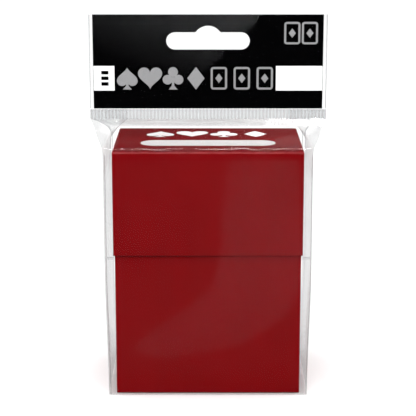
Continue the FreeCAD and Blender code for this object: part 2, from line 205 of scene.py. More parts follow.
def red_sheet():
    """Dyed polypropylene sheet: fine matt grain, faint flow mottling, and two marks of painted light.

    The top front fold is paler, partly stress whitening and partly a painted highlight, and a band round
    the box at the lid's lower edge is darkened as painted shade of the seam.
    """
    made, tree = material("red_sheet")
    mottle = grain(tree, 9 * MM, 3, (1, 1, 2.5))
    colour = tint(tree, ramp(tree, mottle, 0.3, 0.7), RED_DEEP, RED)
    place = shader(tree, "SeparateXYZ", Vector=here(tree)).outputs
    # Paler along the top front fold: partly stress whitening, partly a painted highlight of the crease.
    to_top = maths(tree, "ABSOLUTE", maths(tree, "SUBTRACT", place["Z"], box_top - FOLD_OFFSET))
    to_front = maths(tree, "ABSOLUTE", maths(tree, "SUBTRACT", place["Y"], lid_low.y + FOLD_OFFSET))
    to_fold = maths(tree, "MAXIMUM", to_top, to_front)
    fold_whitening_and_highlight = maths(tree, "SUBTRACT", 1.0, ramp(tree, to_fold, EDGE_START, FOLD_WHITENING_AND_HIGHLIGHT_REACH))
    patchy_whitening_and_highlight = maths(tree, "MULTIPLY", fold_whitening_and_highlight, ramp(tree, grain(tree, 3 * MM), 0.25, 0.65))
    colour = tint(tree, maths(tree, "MULTIPLY", patchy_whitening_and_highlight, 0.7), colour, RED_WHITENED_AND_HIGHLIT)
    # Painted shade: a dark band round the box at the height of the lid's lower edge, for the seam's shadow.
    to_seam = maths(tree, "ABSOLUTE", maths(tree, "SUBTRACT", place["Z"], flap_low.z))
    colour = tint(tree, ramp(tree, to_seam, EDGE_START, SEAM_SHADE_REACH), RED_SEAM_SHADE, colour)
    fine = grain(tree, 0.25 * MM, 2)
    handled = grain(tree, 14 * MM, 4)
    surface = shader(
        tree,
        "BsdfPrincipled",
        Base_Color=colour,
        Roughness=between(tree, handled, 0.30, 0.44),
        Specular_IOR_Level=0.005,
        Normal=bumps(tree, fine, 0.004 * MM, 0.05),
    )
    finish_material(tree, surface.outputs[0])
    return made


def frosted_sheet():
    """Milky polypropylene sheet that lets some light through."""
    made, tree = material("frosted_sheet")
    cloud = tint(tree, grain(tree, 6 * MM, 3), FROST_THIN, FROST_THICK)
    surface = shader(
        tree,
        "BsdfPrincipled",
        Base_Color=cloud,
        Roughness=between(tree, grain(tree, 5 * MM), 0.42, 0.55),
        Normal=bumps(tree, grain(tree, 0.2 * MM), 0.01 * MM, 0.5),
    )
    clear = shader(tree, "BsdfTransparent", Color=(0.95, 0.96, 0.97, 1))
    finish_material(tree, blend(tree, 0.72, clear, surface).outputs[0])
    return made


def printed(name, first, second, roughness, speckle=0.5 * MM, specular=0.3):
    """Ink or coated stock: the colour drifts a little between first and second, over a fine paper grain."""
    made, tree = material(name)
    fleck = grain(tree, speckle, 3)
    surface = shader(
        tree,
        "BsdfPrincipled",
        Base_Color=tint(tree, ramp(tree, fleck, 0.25, 0.75), first, second),
        Roughness=between(tree, grain(tree, 4 * MM), roughness - 0.05, roughness + 0.05),
        Specular_IOR_Level=specular,
        Normal=bumps(tree, fleck, 0.006 * MM, 0.4),
    )
    finish_material(tree, surface.outputs[0])
    return made


def foil():
    """Hot-stamped silver foil, slightly broken up by the sheet's grain."""
    made, tree = material("silver_foil")
    fleck = grain(tree, 0.3 * MM, 2)
    surface = shader(
        tree,
        "BsdfPrincipled",
        Base_Color=tint(tree, fleck, FOIL_WORN, FOIL),
        Metallic=0.35,
        Roughness=between(tree, fleck, 0.30, 0.48),
        Normal=bumps(tree, fleck, 0.01 * MM, 0.6),
    )
    finish_material(tree, surface.outputs[0])
    return made


def film(name, face_on, edge_on, haze, milk_edge, roughness=0.06, loose=0.3, rib=0.0, groove_shade=1.0):
    """Clear film, taut on the walls and loose above the box, where loose is the strength of its ripples.

    It passes the face_on share of light where seen square on and edge_on where seen edge on, and scatters
    the haze share square on and milk_edge edge on.  rib is the pitch of a crimp's ribs, whose crests are
    milkier and whose grooves pass the groove_shade share of that light: partly the crimp's own whitening,
    partly painted light and shade of the ribs.
    """
    made, tree = material(name)
    slope = shader(tree, "LayerWeight", Blend=0.5).outputs["Facing"]
    edge = maths(tree, "POWER", slope, EDGE_SHARPNESS)
    passing = tint(tree, edge, (face_on, face_on, face_on), (0.97 * edge_on, edge_on, 1.01 * edge_on))
    clouds = between(tree, grain(tree, CLOUD_SIZE, 1), 0.8, 1.2)
    milky = maths(tree, "MULTIPLY", between(tree, edge, haze, milk_edge), clouds)
    place = shader(tree, "SeparateXYZ", Vector=here(tree)).outputs
    if rib:
        # Painted light on the ribs: lighter, milkier crests and grooves that pass less light stand in for the
        # ribs' shading, with the crimp's own whitening.
        wave = maths(tree, "SINE", maths(tree, "MULTIPLY", place["X"], TURN / rib))
        crest_whitening_and_light = ramp(tree, wave, -0.4, 0.8)
        painted_groove_shade = tint(tree, edge, (groove_shade * face_on,) * 3, (groove_shade * edge_on,) * 3)
        passing = tint(tree, crest_whitening_and_light, painted_groove_shade, passing)
        milky = maths(tree, "MULTIPLY", milky, between(tree, crest_whitening_and_light, 0.5, 1.5))
    slack = between(tree, ramp(tree, place["Z"], box_top - 3 * MM, box_top + 1 * MM), TAUT, loose)
    ripple = bumps(tree, grain(tree, RIPPLE_SIZE, 1.5, (1, 1, 1.8)), RIPPLE_DEPTH, slack)
    clear = shader(tree, "BsdfTransparent", Color=passing)
    shine = shader(tree, "BsdfGlossy", Color=(1, 1, 1, 1), Roughness=roughness, Normal=ripple)
    fresnel = shader(tree, "LayerWeight", Blend=0.1, Normal=ripple).outputs["Fresnel"]
    shiny = blend(tree, maths(tree, "MINIMUM", fresnel, MOST_SHINE), clear, shine)
    milk = shader(tree, "BsdfDiffuse", Color=(*MILK, 1))
    finish_material(tree, blend(tree, milky, shiny, milk).outputs[0])
    return made


def glow(name, start, end, dim, bright):
    """Light given off by a card, from dim at start to bright at end along the line between them."""
    made, tree = material(name)
    line = Vector(end) - Vector(start)
    offset = shader(tree, "VectorMath", {"operation": "SUBTRACT"})
    tree.links.new(here(tree), offset.inputs[0])
    offset.inputs[1].default_value = start
    along = shader(tree, "VectorMath", {"operation": "DOT_PRODUCT"})
    tree.links.new(offset.outputs[0], along.inputs[0])
    along.inputs[1].default_value = line / line.length_squared
    strength = between(tree, ramp(tree, along.outputs["Value"], 0.0, 1.0), dim, bright)
    finish_material(tree, shader(tree, "Emission", Color=(1, 1, 1, 1), Strength=strength).outputs[0])
    return made


def pale_floor():
    """Seamless pale paper."""
    made, tree = material("pale_floor")
    surface = shader(
        tree,
        "BsdfPrincipled",
        Base_Color=tint(tree, grain(tree, 40 * MM, 4), PAPER_DULL, PAPER),
        Roughness=0.9,
        Specular_IOR_Level=0.1,
    )
    finish_material(tree, surface.outputs[0])
    return made


RED_SHEET = red_sheet()
FROSTED = frosted_sheet()
BLACK_INK = printed("black_ink", INK_BLACK, INK_BLACK_WORN, 0.35, specular=0.0)
WHITE_INK = printed("white_ink", INK_WHITE_DULL, INK_WHITE, 0.5)
GREY_INK = printed("grey_ink", INK_GREY, INK_GREY_LIGHT, 0.5)
WHITE_STRIP = printed("white_strip_paper", STRIP_WHITE_DULL, STRIP_WHITE, 0.6, 0.4 * MM, specular=0.05)
SILVER_FOIL = foil()
CLEAR_FILM = film("clear_film", 0.95, 0.59, 0.0008, 0.22)
# Darker film for pressed folds and cut rims; the rims, level with the lid's lower edge, also darken the seam
# line as painted shade.
FOLD_AND_SEAM_SHADE_FILM = film("folded_and_seam_shade_film", 0.66, 0.50, 0.0008, 0.22)
SEAL_FILM = film("seal_film", 0.71, 0.66, 0.35, 0.45, roughness=0.15, rib=RIB_PITCH, groove_shade=0.74)
INNER_SEAL_FILM = film("inner_seal_film", 0.96, 0.85, 0.07, 0.20, roughness=0.15, rib=RIB_PITCH)
LEAF_FILM = film("leaf_film", 0.985, 0.80, 0.0001, 0.2, roughness=0.02, loose=0.008)


# ------------------------------------------------------------------ mesh helpers


def mesh_piece(name, points, faces, look, body, smooth=True):
    """A new piece from points and faces, with its material, riding on a body."""
    mesh = bpy.data.meshes.new(name)
    mesh.from_pydata([tuple(p) for p in points], [], faces)
    mesh.validate()
    mesh.materials.append(look)
    for polygon in mesh.polygons:
        polygon.use_smooth = smooth
    piece = bpy.data.objects.new(name, mesh)
    bpy.context.scene.collection.objects.link(piece)
    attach(piece, body)
    return piece


def mark_folds(piece, columns, folded):
    """Gives pressed folds and cut rims their darker film: the grid quads where folded(row, column) is true.

    The rims lie level with the lid's lower edge, and their darkness there is also painted shade of the seam.
    """
    piece.data.materials.append(FOLD_AND_SEAM_SHADE_FILM)
    for polygon in piece.data.polygons:
        row, column = divmod(polygon.vertices[0], columns)
        if folded(row, column):
            polygon.material_index = 1


def fold_column(column):
    """True in the middle of each of the bag's four corners, counted round its loop."""
    for steps in (ACROSS, DEEP, ACROSS, DEEP):
        if column < steps:
            return False
        if column < steps + ROUND:
            return column == steps + ROUND // 2
        column -= steps + ROUND
    return False


def grid_faces(rows, columns, closed=False, keep=lambda row, column: True):
    """Quads over a grid of rows by columns points; closed joins the last column to the first."""
    faces = []
    for row in range(rows - 1):
        for column in range(columns if closed else columns - 1):
            after = (column + 1) % columns
            if keep(row, column):
                a, b = row * columns + column, row * columns + after
                faces.append((a, b, b + columns, a + columns))
    return faces


def inlay(name, outlines, surface, thickness, look, body):
    """Thin flat shapes: outlines are lists of (u, v) points, set in the frame by surface(u, v, lift).

    Each is a hair thinner than the one before, so that the tops of overlapping shapes are never level.
    """
    points, faces = [], []
    for number, outline in enumerate(outlines):
        start, count = len(points), len(outline)
        top = thickness * (1 - 0.02 * number)
        points += [surface(u, v, top) for u, v in outline]
        points += [surface(u, v, 0) for u, v in outline]
        flat = [Vector((u, v, 0)) for u, v in outline]
        for a, b, c in tessellate_polygon([flat]):
            faces.append((start + a, start + b, start + c))
            faces.append((start + count + c, start + count + b, start + count + a))
        for i in range(count):
            j = (i + 1) % count
            faces.append((start + i, start + j, start + count + j, start + count + i))
    mesh_piece(name, points, faces, look, body, smooth=False)


# ------------------------------------------------------------------ flat shapes for the print


def arc(x, y, radius, first, last, steps=10):
    """Points on an arc, angles in degrees."""
    angles = [math.radians(first + (last - first) * i / steps) for i in range(steps + 1)]
    return [(x + radius * math.cos(a), y + radius * math.sin(a)) for a in angles]


def bar(x0, y0, x1, y1, radius=0.0):
    """A rectangle, with round corners if radius isn't 0."""
    if not radius:
        return [(x0, y0), (x1, y0), (x1, y1), (x0, y1)]
    return (
        arc(x1 - radius, y0 + radius, radius, -90, 0, 6)
        + arc(x1 - radius, y1 - radius, radius, 0, 90, 6)
        + arc(x0 + radius, y1 - radius, radius, 90, 180, 6)
        + arc(x0 + radius, y0 + radius, radius, 180, 270, 6)
    )


def frame_bars(x0, y0, x1, y1, width, radius):
    """A round-cornered rectangular outline as two halves, each a closed shape."""
    halves = []
    for side in (0, 1):
        xa, xb = (x0, (x0 + x1) / 2) if side == 0 else ((x0 + x1) / 2, x1)
        inner = max(radius - width, radius * 0.3)
        if side == 0:
            outer_line = [(xb, y0)] + arc(xa + radius, y0 + radius, radius, 270, 180, 6)
            outer_line += arc(xa + radius, y1 - radius, radius, 180, 90, 6) + [(xb, y1)]
            edge_in = [(xb, y1 - width)] + arc(xa + width + inner, y1 - width - inner, inner, 90, 180, 6)
            edge_in += arc(xa + width + inner, y0 + width + inner, inner, 180, 270, 6) + [(xb, y0 + width)]
        else:
            outer_line = [(xa, y0)] + arc(xb - radius, y0 + radius, radius, -90, 0, 6)
            outer_line += arc(xb - radius, y1 - radius, radius, 0, 90, 6) + [(xa, y1)]
            edge_in = [(xa, y1 - width)] + arc(xb - width - inner, y1 - width - inner, inner, 90, 0, 6)
            edge_in += arc(xb - width - inner, y0 + width + inner, inner, 0, -90, 6) + [(xa, y0 + width)]
        halves.append(outer_line + edge_in)
    return halves


def diamond(x, y, high):
    """A diamond pip."""
    wide = high * 0.38
    return [(x, y - high / 2), (x + wide, y), (x, y + high / 2), (x - wide, y)]


def heart(x, y, high):
    """A heart as one outline: two lobes and a point."""
    outline = []
    for i in range(40):
        a = TURN * i / 40
        u = 16 * math.sin(a) ** 3
        v = 13 * math.cos(a) - 5 * math.cos(2 * a) - 2 * math.cos(3 * a) - math.cos(4 * a)
        outline.append((x + u * high / 30, y + (v + 2.5) * high / 30))
    return outline[::-1]


def stem(x, y, high):
    """The flared foot of a spade or club, which narrows again between the lobes."""
    half = [(0.20, -0.50), (0.06, -0.34), (0.05, -0.22), (0.10, -0.12), (0.02, 0.12)]
    right = [(x + high * u, y + high * v) for u, v in half]
    left = [(x - high * u, y + high * v) for u, v in half[::-1]]
    return right + left


def spade(x, y, high):
    """A heart upside down on a stem."""
    top = [(x - (u - x), y - (v - y)) for u, v in heart(x, y, high * 0.86)]
    return [[(u, v + high * 0.07) for u, v in top], stem(x, y, high)]


def club(x, y, high):
    """Three discs on a stem."""
    radius = high * 0.215
    discs = [
        arc(x, y + high * 0.28, radius, 0, 345, 23),
        arc(x - high * 0.24, y - high * 0.06, radius, 0, 345, 23),
        arc(x + high * 0.24, y - high * 0.06, radius, 0, 345, 23),
    ]
    return discs + [stem(x, y, high)]


def playing_card(x, y, high):
    """A small card outline with one pip."""
    wide = high * 0.36
    line = high * 0.09
    return frame_bars(x - wide, y - high / 2, x + wide, y + high / 2, line, high * 0.13) + [
        diamond(x, y, high * 0.42)
    ]


# ------------------------------------------------------------------ header print

# Heights above the card's lower edge and places from its left edge, unless the name says otherwise.
PRINT_LIFT = 0.03 * MM
PRINT_GAP = 0.002 * MM
BAND_LOW, BAND_HIGH = 7.06 * MM, 16.63 * MM
BAND_MIDDLE = (BAND_LOW + BAND_HIGH) / 2
BAND_INSET = 0.15 * MM
LEFT_BAND_END = 8.2 * MM
RIGHT_BAND_START = 70.5 * MM
FIRST_MARK = 13.1 * MM
MARK_STEP = 8.85 * MM
PIP_HEIGHT = 8.8 * MM
EMBLEM_HEIGHT = 8.6 * MM
EMBLEM_MIDDLE = 29.3 * MM
EMBLEM_FROM_RIGHT = (12.0 * MM, 5.24 * MM)
TICK_START, TICK_END = 3.1 * MM, 5.9 * MM
TICK_STEP = 2.2 * MM
TICK_HALF = 0.7 * MM
WELD_WIDTH = 0.4 * MM

# The foil mark on the lid; its setback counts strip widths from the write-on strip's front edge.
FOIL_HEIGHT = 12.0 * MM
FOIL_STEP = 12.6 * MM
FOIL_SETBACK = 2.2
FOIL_THICKNESS = 0.02 * MM
FOIL_GAP = 0.004 * MM


def header_surface(side, raised=0.0):
    """Places (u, v), from the card's lower left corner as seen from that side, on the card's face."""
    face = card_low.y if side < 0 else card_high.y

    def place(u, v, lift):
        x = card_low.x + u if side < 0 else card_high.x - u
        return Vector((x, face + side * (lift + raised + PRINT_GAP), card_low.z + v))

    return place


def header_bands(width):
    """Outlines of the two white bands."""
    return [
        bar(BAND_INSET, BAND_LOW, LEFT_BAND_END, BAND_HIGH),
        bar(RIGHT_BAND_START, BAND_LOW, width - BAND_INSET, BAND_HIGH),
    ]


def header_marks(width):
    """Outlines of the row of pips and cards, and of the emblem of two cards."""
    places = [FIRST_MARK + MARK_STEP * i for i in range(7)]
    marks = spade(places[0], BAND_MIDDLE, PIP_HEIGHT) + [heart(places[1], BAND_MIDDLE, PIP_HEIGHT)]
    marks += club(places[2], BAND_MIDDLE, PIP_HEIGHT) + [diamond(places[3], BAND_MIDDLE, PIP_HEIGHT)]
    for place in places[4:]:
        marks += playing_card(place, BAND_MIDDLE, PIP_HEIGHT)
    for from_right in EMBLEM_FROM_RIGHT:
        marks += playing_card(width - from_right, EMBLEM_MIDDLE, EMBLEM_HEIGHT)
    return marks


def header_ticks():
    """Outlines of the three ticks on the left band."""
    ticks = []
    for step in (-1, 0, 1):
        height = BAND_MIDDLE + step * TICK_STEP
        ticks.append(bar(TICK_START, height - TICK_HALF, TICK_END, height + TICK_HALF))
    return ticks


def header_print():
    """The same print on both sides of the card; the ticks lie on the band's ink."""
    width = card_high.x - card_low.x
    for side, word in ((-1, "front"), (1, "back")):
        for kind, outlines, raised, thickness, ink in (
            ("bands", header_bands(width), 0.0, PRINT_LIFT / 2, WHITE_INK),
            ("marks", header_marks(width), 0.0, PRINT_LIFT / 2, GREY_INK),
            ("ticks", header_ticks(), PRINT_LIFT / 2, PRINT_LIFT / 3, BLACK_INK),
        ):
            surface = header_surface(side, raised)
            inlay(f"header_{kind}_{word}", outlines, surface, thickness, ink, "header")


def header_welds():
    """The welded side edges of the two film leaves, a thin line down each side of the card."""
    points, faces = [], []
    for side in (-1, 1):
        start = len(points)
        for z in (card_low.z, card_high.z):
            for inset in (WELD_WIDTH, 0):
                points.append((side * (leaf_high.x - inset), 0, z))
        faces.append((start, start + 1, start + 3, start + 2))
    mesh_piece("header_side_welds", points, faces, SEAL_FILM, "header")


def lid_mark():
    """A foil row of pips pressed on the lid's top, behind the write-on strip."""
    along = strip_low.y + (strip_high.y - strip_low.y) * FOIL_SETBACK

    def place(u, v, lift):
        return Vector((u, v, box_top + lift + FOIL_GAP))

    xs = [FOIL_STEP * (i - 1.5) for i in range(4)]
    marks = spade(xs[0], along, FOIL_HEIGHT) + [heart(xs[1], along, FOIL_HEIGHT)]
    marks += club(xs[2], along, FOIL_HEIGHT) + [diamond(xs[3], along, FOIL_HEIGHT)]
    inlay("lid_foil_mark", marks, place, FOIL_THICKNESS, SILVER_FOIL, "lid")


# ------------------------------------------------------------------ the bag's film

# The sheets run just inside the frame's own film, with this radius at the bag's corners.
INSIDE = 0.15 * MM
WALL_X = pouch_high.x - INSIDE
FRONT_Y, BACK_Y = pouch_low.y + INSIDE, back_film_high.y - INSIDE
HOOD_BACK_Y = hood_side_high.y - INSIDE
CORNER = 2.2 * MM

# Steps round the bag: across the front or back, round a corner, along a side.
ACROSS, ROUND, DEEP = 60, 6, 40
AROUND = 2 * (ACROSS + DEEP) + 4 * ROUND
BACK_COLUMNS = range(ACROSS + DEEP + 2 * ROUND, 2 * ACROSS + DEEP + 2 * ROUND)

# The pressed rims, the room that the back sheet leaves for the turned-back top, and the gussets' depth.
RIM = 0.35 * MM
CLEAR_OF_HOOD = 1.6 * MM
GUSSET = 14.4 * MM

# How far the film stands out of its walls, and where its sharper ripples start below the top.
SLACK = {"front": 0.05 * MM, "back": 0.3 * MM}
SIDE_SLACK = 0.12 * MM
SHARP_START, SHARP_RISE = 80 * MM, 16 * MM

# The bag draws in towards its base, whose folds lie this high and this deep.
DRAW_IN, DRAW_IN_HEIGHT = 0.9 * MM, 50 * MM
BASE_ROUND = 0.4 * MM
BASE_LIFT = 0.06 * MM
BASE_CREASE = 0.05 * MM
STIFF_FOOT = 6 * MM

# The hood: its shoulder's height and bend, how far in the bend reaches, and the depths of its folds.
SHOULDER = 1.1 * MM
BEND = 2.6 * MM
BEND_REACH = 0.10
SIDE_DIP, SIDE_DIP_RISE = 1.5 * MM, 17 * MM
FOLD_DEPTH, BACK_FOLD_DEPTH = 0.6 * MM, 0.15 * MM
FAN_SIZE = 12 * MM
WRINKLE_DEPTH, WRINKLE_SIZE = 0.35 * MM, 3.5 * MM
BACK_OPENING = 0.6 * MM

# The top seal: how far from its middle and its ends the hood's film meets it, and its ribs and layers.
SEAL_INSET = 0.1 * MM
FACE_OFFSET, CORNER_OFFSET, TUCK_OFFSET = 0.2 * MM, 0.15 * MM, 0.1 * MM
RIB_DEPTH = 0.20 * MM
LAYER_GAP = 0.12 * MM

# The base seal's ribs.
BASE_RIB_DEPTH = 0.05 * MM
BASE_SEAL_LIFT = 0.08 * MM


def crinkle(point, size, seed):
    """Smooth noise from -1 to 1 with features of about size metres; the same each run."""
    return noise.noise(Vector(point) / size + Vector((seed * 7.3, seed * 3.1, seed * 5.7)))


def crease(point, size, seed):
    """Sharp-ridged noise from 0 to 1."""
    return 1 - min(1.0, abs(crinkle(point, size, seed)) * 3)


def ease(x):
    """0 below 0, 1 above 1, smooth between."""
    x = max(0.0, min(1.0, x))
    return x * x * (3 - 2 * x)


def loop(half_x, front, back):
    """A ring round the bag, as (x, y, side, along, out), from the front's left end.

    side is front, right, back or left, or one of these with _corner after it; along runs from -1 to 1 on a
    side and from 0 to 1 round a corner, and out is the outward direction.
    """
    ring = []
    corners = [
        (half_x - CORNER, front + CORNER, -90),
        (half_x - CORNER, back - CORNER, 0),
        (-half_x + CORNER, back - CORNER, 90),
        (-half_x + CORNER, front + CORNER, 180),
    ]
    sides = ("front", "right", "back", "left")
    for number, side in enumerate(sides):
        steps = ACROSS if side in ("front", "back") else DEEP
        for i in range(steps):
            t = -1 + 2 * i / steps
            if side == "front":
                ring.append((t * (half_x - CORNER), front, side, t, Vector((0, -1, 0))))
            elif side == "right":
                y = (front + back) / 2 + t * ((back - front) / 2 - CORNER)
                ring.append((half_x, y, side, t, Vector((1, 0, 0))))
            elif side == "back":
                ring.append((-t * (half_x - CORNER), back, side, t, Vector((0, 1, 0))))
            else:
                y = (front + back) / 2 - t * ((back - front) / 2 - CORNER)
                ring.append((-half_x, y, side, t, Vector((-1, 0, 0))))
        x, y, first = corners[number]
        for i in range(ROUND):
            a = math.radians(first + 90 * i / ROUND)
            out = Vector((math.cos(a), math.sin(a), 0))
            ring.append((x + CORNER * out.x, y + CORNER * out.y, side + "_corner", i / ROUND, out))
    return ring


def wall_ripple(x, y, z, side):
    """How far the film stands out of its wall: long slack ripples, and sharper ones towards the top."""
    depth = SLACK.get(side, SIDE_SLACK)
    slack = depth * crinkle((x, y, z * 0.4), 16 * MM, 1)
    near_top = ease((z - SHARP_START) / SHARP_RISE)
    sharp = 0.8 * depth * near_top * crease((x, y, z * 0.3), 12 * MM, 2)
    return slack + sharp


def half_width(z):
    """The bag narrows a little towards its base."""
    return WALL_X - DRAW_IN * (1 - ease(z / DRAW_IN_HEIGHT))


def pouch_film():
    """The walls of the lower half of the bag, open at the cut."""
    rows = 34
    cut_z = pouch_high.z
    heights = [BASE_ROUND + (cut_z - BASE_ROUND) * row / (rows - 2) for row in range(rows - 1)]
    heights.insert(-1, cut_z - RIM)
    points = []
    for z in heights:
        for x, y, side, _, out in loop(half_width(z), FRONT_Y, BACK_Y):
            lift = wall_ripple(x, y, z, side) * ease(z / STIFF_FOOT)
            points.append(Vector((x, y, z)) + out * lift)

    def folded(row, column):
        # The rim at the cut is darker film: partly a pressed rim, partly painted shade of the seam under the
        # lid.
        at_rim = row == rows - 2 and column not in BACK_COLUMNS
        return at_rim or fold_column(column)

    faces = grid_faces(rows, AROUND, closed=True)
    walls = mesh_piece("bag_lower_film", points, faces, CLEAR_FILM, "bag_lower")
    mark_folds(walls, AROUND, folded)
    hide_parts("bag_front_film", "bag_left_film", "bag_right_film")


def back_sheet():
    """The lower half's back, which reaches up from the cut to the lid's crease."""
    rows, columns = 24, ACROSS + 1
    cut_z = pouch_high.z
    top = back_film_high.z - CLEAR_OF_HOOD
    points = []
    for row in range(rows):
        z = cut_z + (top - cut_z) * row / (rows - 1)
        for column in range(columns):
            t = -1 + 2 * column / (columns - 1)
            x = t * (half_width(z) - CORNER)
            points.append((x, BACK_Y + wall_ripple(x, BACK_Y, z, "back"), z))
    faces = grid_faces(rows, columns)
    back = mesh_piece("bag_back_sheet", points, faces, CLEAR_FILM, "bag_lower")
    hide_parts("bag_back_film")


def base_film():
    """The base: front and back folded under, up to the seal in the middle."""
    steps, rows = 24, 6
    points, faces = [], []
    for side in (-1, 1):
        outer = FRONT_Y if side < 0 else BACK_Y
        inner = base_seal_low.y if side < 0 else base_seal_high.y
        start = len(points)
        for row in range(rows + 1):
            w = row / rows
            y = outer + (inner - outer) * w
            for i in range(steps + 1):
                t = -1 + 2 * i / steps
                x = t * half_width(0)
                round_up = BASE_ROUND * (1 - ease(w * 4))
                points.append((x, y, round_up + BASE_LIFT + BASE_CREASE * crease((x, y, 0), 8 * MM, 5)))
        for a, b, c, d in grid_faces(rows + 1, steps + 1):
            quad = (start + a, start + b, start + c, start + d)
            faces.append(quad if side > 0 else quad[::-1])
    sheet = mesh_piece("bag_base_sheet", points, faces, CLEAR_FILM, "bag_lower")
    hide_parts("bag_base_front", "bag_base_back")


def base_crimp():
    """The crimped seal along the middle of the base."""
    columns, lines = 300, 7
    half = half_width(0)
    points = []
    for line in range(lines):
        y = base_seal_low.y + (base_seal_high.y - base_seal_low.y) * line / (lines - 1)
        for i in range(columns + 1):
            x = -half + 2 * half * i / columns
            points.append((x, y, BASE_SEAL_LIFT + BASE_RIB_DEPTH * math.sin(TURN * x / RIB_PITCH)))
    faces = grid_faces(lines, columns + 1)
    seal = mesh_piece("bag_base_crimp", points, faces, INNER_SEAL_FILM, "bag_lower")
    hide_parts("bag_base_seal")


def sealed_place(x, y, side, along):
    """Where a point of the bag's ring ends up in the flattened, gusseted seal: (x, y)."""
    flat = seal_high.x - SEAL_INSET
    if side == "front":
        return along * flat, -FACE_OFFSET
    if side == "back":
        return -along * flat, FACE_OFFSET
    sign = 1 if x > 0 else -1
    depth_sign = 1 if y > 0 else -1
    if side.endswith("_corner"):
        return sign * flat, depth_sign * CORNER_OFFSET
    tuck = GUSSET * (1 - abs(along))
    return sign * (flat - tuck), depth_sign * TUCK_OFFSET


def hood_profile():
    """Rows up the wall, round the bend and up the slope, as (share of the way in to the seal, height)."""
    wall_rows, bend_rows, slope_rows = 26, 7, 28
    shoulder = box_top + SHOULDER
    bend_start = shoulder - BEND
    slope = seal_low.z - shoulder
    bend_end = shoulder + slope * BEND_REACH
    rows = [(0.0, hood_low.z + (bend_start - hood_low.z) * i / wall_rows) for i in range(wall_rows + 1)]
    rows.insert(1, (0.0, hood_low.z + RIM))
    for i in range(1, bend_rows):
        t = i / bend_rows
        height = bend_start * (1 - t) ** 2 + shoulder * 2 * t * (1 - t) + bend_end * t * t
        rows.append((BEND_REACH * t * t, height))
    for i in range(slope_rows + 1):
        share = BEND_REACH + (1 - BEND_REACH) * i / slope_rows
        rows.append((share, shoulder + slope * share))
    return rows


def hood_place(x, y, z, side, along, share):
    """Where a point of the bag's ring lies at that share of the way in to the seal."""
    end_x, end_y = sealed_place(x, y, side, along)
    flare = share**1.1
    place = Vector((x + (end_x - x) * flare, y + (end_y - y) * share, z))
    if side in ("left", "right"):
        inward = -1 if x > 0 else 1
        dip = SIDE_DIP * ease((z - SHARP_START) / SIDE_DIP_RISE)
        place.x = x + (end_x - x) * (share if abs(along) < 1 else flare)
        place.x += inward * dip * (1 - abs(along)) * (1 - share)
    return place


def hood_lift(x, y, z, side, share, place):
    """How far the film stands out at place: ripples, folds that fan from the seal, and front wrinkles."""
    lift = wall_ripple(place.x, place.y, z, side) * (1 - share**4)
    if share > 0:
        fan = crease((x, share * 3 * MM, y * 0.5), FAN_SIZE, 4)
        depth = BACK_FOLD_DEPTH if side == "back" else FOLD_DEPTH
        outer = 0.4 + abs(place.x) / (45 * MM)
        lift += depth * fan * math.sin(math.pi * min(1, share * 1.02)) * outer
    if share > 0 and side == "front":
        wrinkle = crease((x * 0.3, share * 26 * MM, 0.0), WRINKLE_SIZE, 9)
        lift += WRINKLE_DEPTH * wrinkle * ease(share / 0.04) * (1 - ease((share - 0.12) / 0.2))
    return lift


def hood_film():
    """The upper half of the bag: walls, shoulders and gussets drawn in to the seal, and no back wall."""
    rows = hood_profile()
    points = []
    for share, z in rows:
        for x, y, side, along, out in loop(half_width(z), FRONT_Y, HOOD_BACK_Y):
            place = hood_place(x, y, z, side, along, share)
            facing = (out * (1 - share) + Vector((0, 0, 1)) * share).normalized()
            points.append(place + facing * hood_lift(x, y, z, side, share, place))

    def wanted(row, column):
        return column not in BACK_COLUMNS or rows[row + 1][1] >= box_top + BACK_OPENING

    def folded(row, column):
        on_wall = rows[row][0] == 0
        # Row 0 is the rim at the lid's lower edge: darker film, partly a cut rim, partly painted seam shade.
        return row == 0 or (on_wall and fold_column(column))

    faces = grid_faces(len(rows), AROUND, closed=True, keep=wanted)
    hood = mesh_piece("bag_top_film", points, faces, CLEAR_FILM, "bag_top")
    mark_folds(hood, AROUND, folded)
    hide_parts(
        "hood_front_film",
        "hood_left_film",
        "hood_right_film",
        "hood_front_shoulder",
        "hood_back_shoulder",
        "hood_left_gusset",
        "hood_right_gusset",
    )


def crimped_seal():
    """The top seal: one ribbed sheet right across, and the gussets' own ribbed layers at the two ends."""
    flat = seal_high.x
    lines = 9
    ends = []
    for x0, x1 in ((-flat, -flat + GUSSET), (flat - GUSSET, flat)):
        ends += [(x0, x1, -LAYER_GAP), (x0, x1, LAYER_GAP)]
    for name, look, layers in (
        ("top_crimp_film", SEAL_FILM, [(-flat, flat, 0.0)]),
        ("top_crimp_inner_film", INNER_SEAL_FILM, ends),
    ):
        points, faces = [], []
        for x0, x1, offset in layers:
            start = len(points)
            columns = int(round((x1 - x0) / (RIB_PITCH / 6))) + 1
            for line in range(lines):
                z = seal_low.z + (seal_high.z - seal_low.z) * line / (lines - 1)
                for i in range(columns):
                    x = x0 + (x1 - x0) * i / (columns - 1)
                    rib = RIB_DEPTH * math.sin(TURN * x / RIB_PITCH)
                    uneven = 1 + 0.35 * crinkle((x, 0, z * 2), 5 * MM, 8)
                    points.append((x, offset + rib * uneven, z))
            faces += [tuple(start + k for k in quad) for quad in grid_faces(lines, columns)]
        seal = mesh_piece(name, points, faces, look, "bag_top")
        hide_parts("top_crimp_seal")


# ------------------------------------------------------------------ finishes on the frame's own pieces

EDGE_BEVEL = 0.06 * MM
LOOKS = {
    "red_sheet": RED_SHEET,
    "frosted_sheet": FROSTED,
    "white_strip": WHITE_STRIP,
    "header_film": LEAF_FILM,
    "header_print": BLACK_INK,
}


